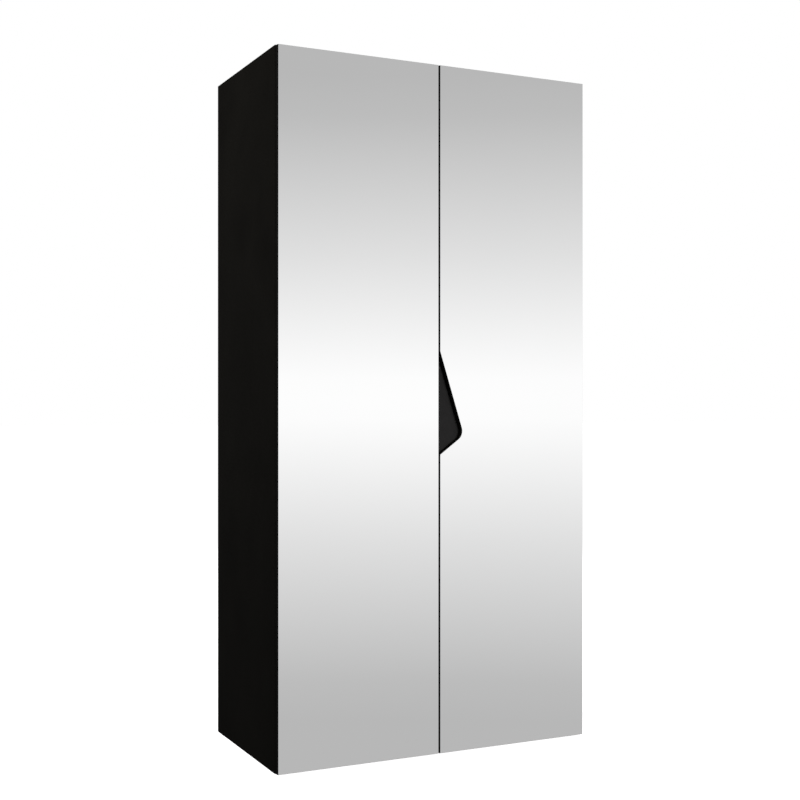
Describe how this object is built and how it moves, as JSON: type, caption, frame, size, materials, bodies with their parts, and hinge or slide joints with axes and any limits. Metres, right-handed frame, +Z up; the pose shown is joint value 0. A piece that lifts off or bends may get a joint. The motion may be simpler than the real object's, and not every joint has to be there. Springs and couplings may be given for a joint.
{
  "type": "wardrobe",
  "caption": "Black board wardrobe with mirror-faced hinged doors, a cut-out finger grip in one door, shelves and a hanging rail inside.",
  "frame": {"origin": "middle of the footprint, on the floor", "axes": "+Z up, the doors face -Y, +X to the viewer's right when facing the doors"},
  "size_m": [0.999, 0.536, 2.013],
  "materials": {
    "black_board": "matt black melamine face",
    "edge_band": "matt black",
    "mirror_glass": "silvered glass",
    "bonding_tape": "foam tape",
    "back_sheet": "raw fibreboard rear, black lacquered inside",
    "dowel_wood": "beech",
    "rail_chrome": "polished",
    "cast_zinc": "die-cast, dull",
    "black_plastic": "matt",
    "grip_plastic": "fine grain",
    "glide_nylon": "smooth",
    "bumper_silicone": "translucent",
    "zinc_steel": "zinc plated",
    "nickel_steel": "nickel plated"
  },
  "bodies": {
    "carcass": {"back_nails": "zinc_steel", "bottom_panel": "black_board", "cam_bolts": "zinc_steel", "cam_caps": "black_plastic", "cam_housings": "cast_zinc", "centre_partition": "black_board", "clothes_rail": "rail_chrome", "floor_glides": "glide_nylon", "front_plinth": "black_board", "hat_shelf": "black_board", "hinge_arm_screws": "zinc_steel", "hinge_plate_screws": "zinc_steel", "left_back_panel": "back_sheet", "left_hinge_arm_pins": "nickel_steel", "left_hinge_arms": "nickel_steel", "left_hinge_plates": "nickel_steel", "left_side_panel": "black_board", "panel_edge_bands": "edge_band", "partition_edge_band": "edge_band", "rail_socket_screws": "zinc_steel", "rail_sockets": "cast_zinc", "rear_plinth": "black_board", "right_back_panel": "back_sheet", "right_hinge_arm_pins": "nickel_steel", "right_hinge_arms": "nickel_steel", "right_hinge_plates": "nickel_steel", "right_side_panel": "black_board", "shelf_1": "black_board", "shelf_2": "black_board", "shelf_3": "black_board", "shelf_4": "black_board", "shelf_5": "black_board", "shelf_edge_bands": "edge_band", "shelf_pins": "zinc_steel", "side_edge_bands": "edge_band", "top_panel": "black_board", "wall_bracket_screws": "zinc_steel", "wall_brackets": "nickel_steel", "wooden_dowels": "dowel_wood"},
    "left_links": {"left_hinge_links": "nickel_steel"},
    "right_links": {"right_hinge_links": "nickel_steel"},
    "left_door": {"left_door_board": "black_board", "left_door_bumpers": "bumper_silicone", "left_door_edge_band": "edge_band", "left_door_mirror": "mirror_glass", "left_door_mirror_tapes": "bonding_tape", "left_hinge_cup_pins": "nickel_steel", "left_hinge_cup_screws": "zinc_steel", "left_hinge_cups": "nickel_steel"},
    "right_door": {"grip_shell": "grip_plastic", "grip_shell_screws": "zinc_steel", "right_door_board": "black_board", "right_door_bumpers": "bumper_silicone", "right_door_edge_band": "edge_band", "right_door_mirror": "mirror_glass", "right_door_mirror_tapes": "bonding_tape", "right_hinge_cup_pins": "nickel_steel", "right_hinge_cup_screws": "zinc_steel", "right_hinge_cups": "nickel_steel"}
  },
  "joints": [
    {"name": "left_link_pivot", "type": "hinge", "parent": "carcass", "child": "left_links", "pos_m": [-0.476, -0.2497, 1], "axis": [0, 0, 1], "range_deg": [0, 48.98]},
    {"name": "left_door_pivot", "type": "hinge", "parent": "left_links", "child": "left_door", "pos_m": [-0.489, -0.251, 1], "axis": [0, 0, -1], "range_deg": [0, 144]},
    {"name": "right_link_pivot", "type": "hinge", "parent": "carcass", "child": "right_links", "pos_m": [0.476, -0.2497, 1], "axis": [0, 0, -1], "range_deg": [0, 48.98]},
    {"name": "right_door_pivot", "type": "hinge", "parent": "right_links", "child": "right_door", "pos_m": [0.489, -0.251, 1], "axis": [0, 0, 1], "range_deg": [0, 144]}
  ],
  "couplings": [
    {"joint": "left_door_pivot", "follows": "left_link_pivot", "ratio": 2.9396},
    {"joint": "right_door_pivot", "follows": "right_link_pivot", "ratio": 2.9396}
  ]
}
